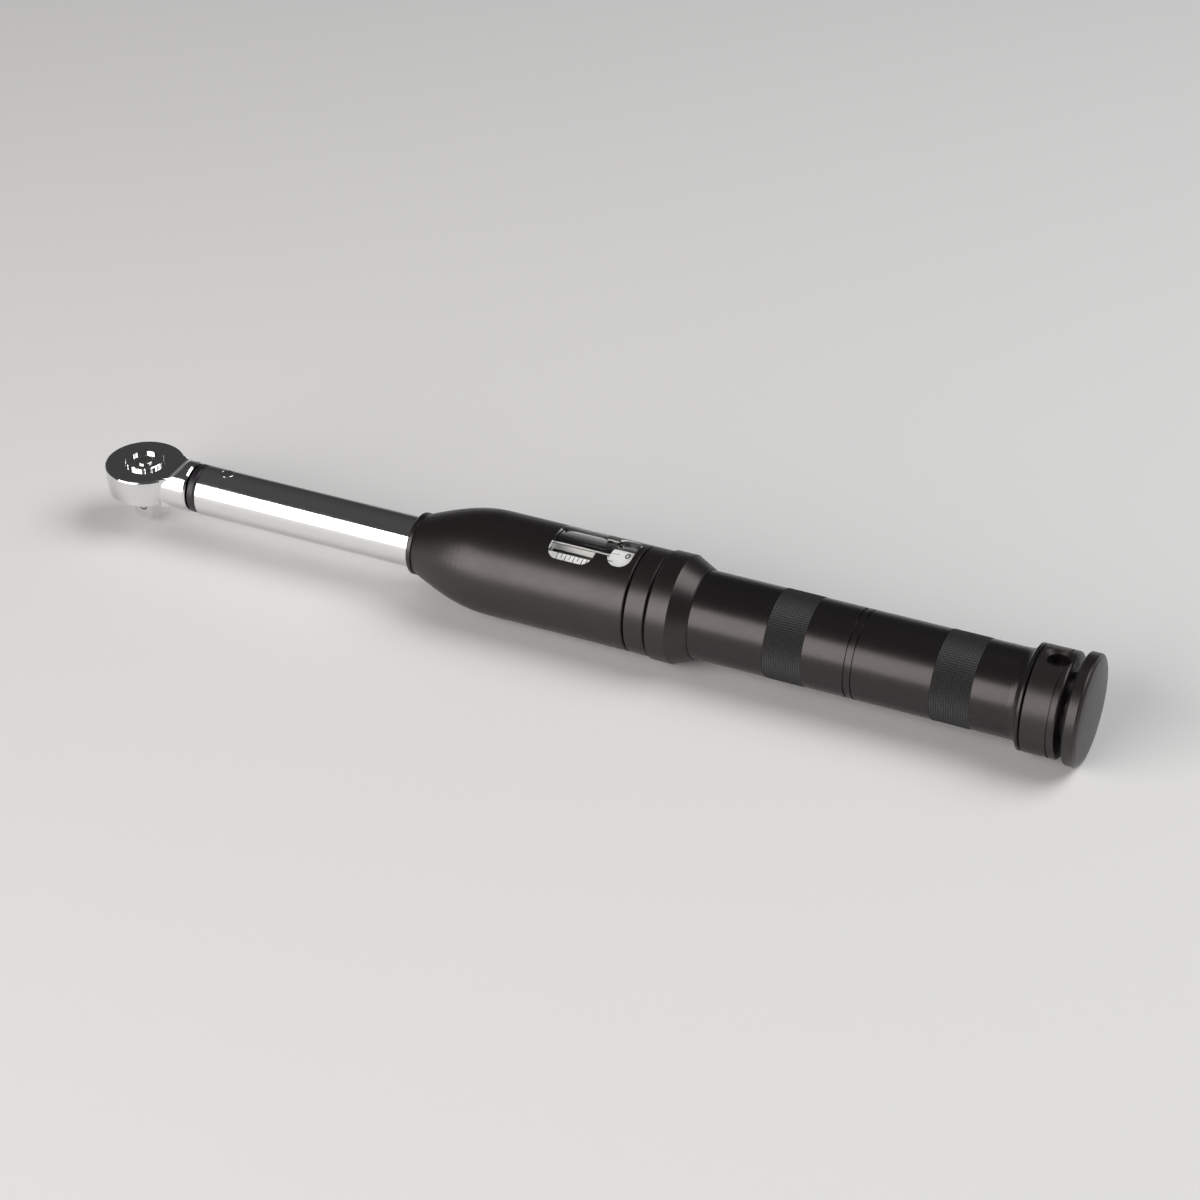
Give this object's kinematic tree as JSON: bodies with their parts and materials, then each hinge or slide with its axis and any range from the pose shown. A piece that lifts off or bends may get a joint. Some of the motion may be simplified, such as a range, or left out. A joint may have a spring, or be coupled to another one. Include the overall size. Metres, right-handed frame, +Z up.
{
  "type": "torque wrench",
  "caption": "Click-type torque wrench with a round reversible ratchet head, chrome tube, black sleeve with a window over the scales, and a turning handle with an end lock.",
  "frame": {"origin": "on the square drive's axis, where it meets the centre line of the wrench", "axes": "+X from the head along the wrench to the handle, +Z up out of the dial and the window, the square drive points along -Z"},
  "size_m": [0.3002, 0.031, 0.031],
  "materials": {
    "chrome": "polished chrome plate",
    "bright_steel": "ground bright steel",
    "dark_steel": "blackened steel",
    "spring_steel": "oiled spring wire",
    "brass": "turned brass",
    "black_satin": "satin black moulding",
    "black_grip": "smooth black grip",
    "band_rubber": "finely knurled rubber",
    "seal_rubber": "smooth rubber",
    "scale_white": "white with black marks",
    "white_plastic": "slippery plastic",
    "clear_lens": "clear moulded lens"
  },
  "bodies": {
    "tube": {"outer_tube": "chrome", "pivot_pin": "bright_steel", "head_seal": "seal_rubber", "body_sleeve": "black_satin", "sleeve_screws": "dark_steel", "window_lens": "clear_lens", "rear_bezel": "black_satin", "tube_circlips": "dark_steel", "bearing_balls": "bright_steel", "rear_thrust_washer": "bright_steel", "bearing_plug": "dark_steel", "plug_screws": "dark_steel", "lock_ring": "dark_steel", "main_spring": "spring_steel"},
    "head": {"ratchet_head": "chrome", "head_cover": "chrome", "cover_screws": "dark_steel", "pawl_pin": "dark_steel"},
    "drive": {"drive_gear": "chrome", "button_spring": "spring_steel"},
    "button": {"release_button": "bright_steel"},
    "ball": {"locking_ball": "bright_steel"},
    "dial": {"reverse_dial": "chrome", "selector_ball": "bright_steel", "selector_spring": "spring_steel"},
    "pawl": {"pawl": "dark_steel"},
    "block": {"tilt_block": "dark_steel"},
    "plunger": {"plunger": "dark_steel", "plunger_ring": "white_plastic", "spring_seat": "dark_steel"},
    "carriage": {"setting_nut": "brass", "nut_washer": "dark_steel", "scale_keys": "dark_steel", "main_scale": "scale_white"},
    "handle": {"grip_collar": "black_satin", "grip_tube": "black_grip", "grip_bands": "band_rubber", "grip_bushes": "brass", "end_cap": "black_satin", "setting_screw": "bright_steel", "front_thrust_washer": "bright_steel", "turning_scale": "scale_white"},
    "knob": {"lock_knob": "black_satin", "lock_stem": "bright_steel", "knob_o_ring": "seal_rubber", "knob_screw": "dark_steel"}
  },
  "joints": [
    {"name": "click_pivot", "type": "hinge", "parent": "tube", "child": "head", "pos_m": [0.028, 0, 0], "axis": [0, 0, 1], "range_deg": [0, 3], "stiffness_Nm_per_rad": 6},
    {"name": "plunger_slide", "type": "slide", "parent": "tube", "child": "plunger", "axis": [1, 0, 0], "range_m": [0, 0.000501]},
    {"name": "block_tilt", "type": "hinge", "parent": "plunger", "child": "block", "pos_m": [0.0502, 0, 0], "axis": [0, 0, 1], "range_deg": [-7.9, 0]},
    {"name": "drive_spin", "type": "hinge", "parent": "head", "child": "drive", "pos_m": [0, 0, 0], "axis": [0, 0, 1], "continuous": true},
    {"name": "button_press", "type": "slide", "parent": "drive", "child": "button", "axis": [0, 0, -1], "range_m": [0, 0.0016], "stiffness_N_per_m": 600, "springref_m": -0.002, "deforming": ["button_spring"]},
    {"name": "ball_retract", "type": "slide", "parent": "drive", "child": "ball", "axis": [0, 1, 0], "range_m": [0, 0.0005001]},
    {"name": "dial_turn", "type": "hinge", "parent": "head", "child": "dial", "pos_m": [0, 0, 0], "axis": [0, 0, 1], "range_deg": [-40, 0]},
    {"name": "pawl_rock", "type": "hinge", "parent": "head", "child": "pawl", "pos_m": [0.008, 0, 0], "axis": [0, 0, 1], "range_deg": [0, 16.6]},
    {"name": "handle_turn", "type": "hinge", "parent": "tube", "child": "handle", "pos_m": [0.2, 0, 0], "axis": [-1, 0, 0], "range_deg": [0, 2880]},
    {"name": "scale_travel", "type": "slide", "parent": "tube", "child": "carriage", "axis": [-1, 0, 0], "range_m": [0, 0.01], "deforming": ["main_spring"]},
    {"name": "knob_push", "type": "slide", "parent": "handle", "child": "knob", "axis": [-1, 0, 0], "range_m": [0, 0.002]}
  ],
  "couplings": [
    {"joint": "plunger_slide", "follows": "click_pivot", "m_per_rad": 0.009549},
    {"joint": "block_tilt", "follows": "click_pivot", "ratio": -2.6333},
    {"joint": "ball_retract", "follows": "button_press", "ratio": 0.3125},
    {"joint": "pawl_rock", "follows": "dial_turn", "ratio": -0.415},
    {"joint": "scale_travel", "follows": "handle_turn", "m_per_rad": 0.00019894}
  ]
}
